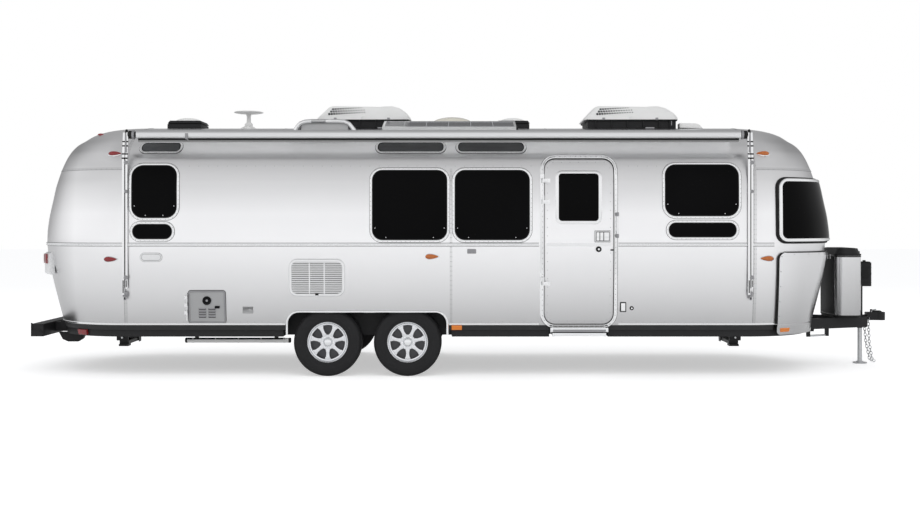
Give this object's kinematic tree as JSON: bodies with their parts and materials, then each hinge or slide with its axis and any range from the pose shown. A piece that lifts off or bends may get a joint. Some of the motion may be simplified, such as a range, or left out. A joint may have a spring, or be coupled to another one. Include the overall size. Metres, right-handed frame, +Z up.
{
  "type": "travel caravan",
  "caption": "Long tandem-axle travel caravan with a rounded polished aluminium body, dark windows, side door, roof equipment, A-frame hitch and jack.",
  "frame": {"origin": "on the ground under the middle of the whole trailer, hitch and bumper included", "axes": "+X forward to the hitch, +Y to the trailer left, +Z up; the entrance door is on the -Y side"},
  "size_m": [9.5738, 2.6556, 2.958],
  "materials": {
    "polished_skin": "polished",
    "bright_trim": "bright",
    "dark_glass": "gloss",
    "black_frame": "satin",
    "black_plastic": "matte",
    "floor_board": "matte",
    "tyre": "matte",
    "alloy": "machined",
    "galvanised": "satin",
    "white_plastic": "gloss",
    "lamp_lens": "gloss",
    "grey_panel": "satin",
    "solar_cell": "gloss",
    "canvas": "woven",
    "tan_plastic": "gloss",
    "gas_paint": "gloss"
  },
  "bodies": {
    "trailer": {"a_frame": "black_frame", "ac_covers": "white_plastic", "antenna": "white_plastic", "arch_trims": "bright_trim", "awning_arms": "bright_trim", "awning_roller": "canvas", "axles": "black_frame", "belly_pan": "black_plastic", "belt_rail": "bright_trim", "bumper": "black_frame", "cap_front": "polished_skin", "cap_rear": "polished_skin", "coupler": "black_frame", "door_frame": "bright_trim", "end_frames": "bright_trim", "end_glass": "dark_glass", "floor_deck": "floor_board", "frame_rails": "black_frame", "gas_bottles": "gas_paint", "gas_cover": "polished_skin", "jack_body": "black_frame", "lamps": "lamp_lens", "roof": "polished_skin", "roof_bases": "black_plastic", "roof_cover": "bright_trim", "safety_chains": "galvanised", "side_frames": "bright_trim", "side_glass": "dark_glass", "side_left": "polished_skin", "side_right_front": "polished_skin", "side_right_rear": "polished_skin", "skylight": "tan_plastic", "solar_panels": "solar_cell", "stabiliser_channels": "black_frame", "step_bracket": "bright_trim", "stone_guards": "polished_skin", "under_gear": "black_frame", "vent_grille": "bright_trim"},
    "door": {"door_panel": "polished_skin", "door_glass": "dark_glass", "door_handle": "bright_trim"},
    "hatch_door": {"heater_hatch": "grey_panel"},
    "step_linkage": {"step_arms": "galvanised"},
    "step_board": {"step_tread": "bright_trim"},
    "jack_foot": {"jack_leg": "galvanised"},
    "gas_cover_lid": {"gas_lid": "black_plastic"},
    "front_vent_lid": {"vent_lid_front": "black_plastic"},
    "rear_vent_lid": {"vent_lid_rear": "black_plastic"},
    "wheel_front_left": {"tyre_front_left": "tyre", "rim_front_left": "alloy"},
    "stabiliser_leg_front_left": {"stabiliser_front_left": "black_frame"},
    "wheel_front_right": {"tyre_front_right": "tyre", "rim_front_right": "alloy"},
    "stabiliser_leg_front_right": {"stabiliser_front_right": "black_frame"},
    "wheel_rear_left": {"tyre_rear_left": "tyre", "rim_rear_left": "alloy"},
    "stabiliser_leg_rear_left": {"stabiliser_rear_left": "black_frame"},
    "wheel_rear_right": {"tyre_rear_right": "tyre", "rim_rear_right": "alloy"},
    "stabiliser_leg_rear_right": {"stabiliser_rear_right": "black_frame"}
  },
  "joints": [
    {"name": "door_hinge", "type": "hinge", "parent": "trailer", "child": "door", "pos_m": [0.755, -1.307, 1.4], "axis": [0, 0, -1], "range_deg": [0, 170]},
    {"name": "heater_hatch_hinge", "type": "hinge", "parent": "trailer", "child": "hatch_door", "pos_m": [-2.989, -1.274, 0.74], "axis": [0, 0, -1], "range_deg": [0, 110]},
    {"name": "step_fold", "type": "hinge", "parent": "trailer", "child": "step_linkage", "pos_m": [1.137, -1.19, 0.498], "axis": [-1, 0, 0], "range_deg": [0, 125]},
    {"name": "step_board_level", "type": "hinge", "parent": "step_linkage", "child": "step_board", "pos_m": [1.137, -1.01, 0.445], "axis": [-1, 0, 0], "range_deg": [-125, 0]},
    {"name": "jack_screw", "type": "slide", "parent": "trailer", "child": "jack_foot", "axis": [0, 0, 1], "range_m": [0, 0.37]},
    {"name": "gas_lid_hinge", "type": "hinge", "parent": "trailer", "child": "gas_cover_lid", "pos_m": [4.126, 0, 1.255], "axis": [0, -1, 0], "range_deg": [0, 75]},
    {"name": "front_vent_hinge", "type": "hinge", "parent": "trailer", "child": "front_vent_lid", "pos_m": [0.288, 0, 2.766], "axis": [0, -1, 0], "range_deg": [0, 70]},
    {"name": "rear_vent_hinge", "type": "hinge", "parent": "trailer", "child": "rear_vent_lid", "pos_m": [-3.466, 0, 2.766], "axis": [0, -1, 0], "range_deg": [0, 70]},
    {"name": "wheel_front_right_spin", "type": "hinge", "parent": "trailer", "child": "wheel_front_right", "pos_m": [-0.672, -1.1015, 0.36], "axis": [0, 1, 0], "continuous": true},
    {"name": "wheel_front_left_spin", "type": "hinge", "parent": "trailer", "child": "wheel_front_left", "pos_m": [-0.672, 1.1015, 0.36], "axis": [0, 1, 0], "continuous": true},
    {"name": "wheel_rear_right_spin", "type": "hinge", "parent": "trailer", "child": "wheel_rear_right", "pos_m": [-1.518, -1.1015, 0.36], "axis": [0, 1, 0], "continuous": true},
    {"name": "wheel_rear_left_spin", "type": "hinge", "parent": "trailer", "child": "wheel_rear_left", "pos_m": [-1.518, 1.1015, 0.36], "axis": [0, 1, 0], "continuous": true},
    {"name": "stabiliser_front_right_swing", "type": "hinge", "parent": "trailer", "child": "stabiliser_leg_front_right", "pos_m": [2.835, -0.5, 0.335], "axis": [1, 0, 0], "range_deg": [0, 55]},
    {"name": "stabiliser_front_left_swing", "type": "hinge", "parent": "trailer", "child": "stabiliser_leg_front_left", "pos_m": [2.835, 0.5, 0.335], "axis": [-1, 0, 0], "range_deg": [0, 55]},
    {"name": "stabiliser_rear_right_swing", "type": "hinge", "parent": "trailer", "child": "stabiliser_leg_rear_right", "pos_m": [-3.743, -0.5, 0.335], "axis": [1, 0, 0], "range_deg": [0, 55]},
    {"name": "stabiliser_rear_left_swing", "type": "hinge", "parent": "trailer", "child": "stabiliser_leg_rear_left", "pos_m": [-3.743, 0.5, 0.335], "axis": [-1, 0, 0], "range_deg": [0, 55]}
  ],
  "couplings": [
    {"joint": "step_board_level", "follows": "step_fold", "ratio": -1}
  ]
}
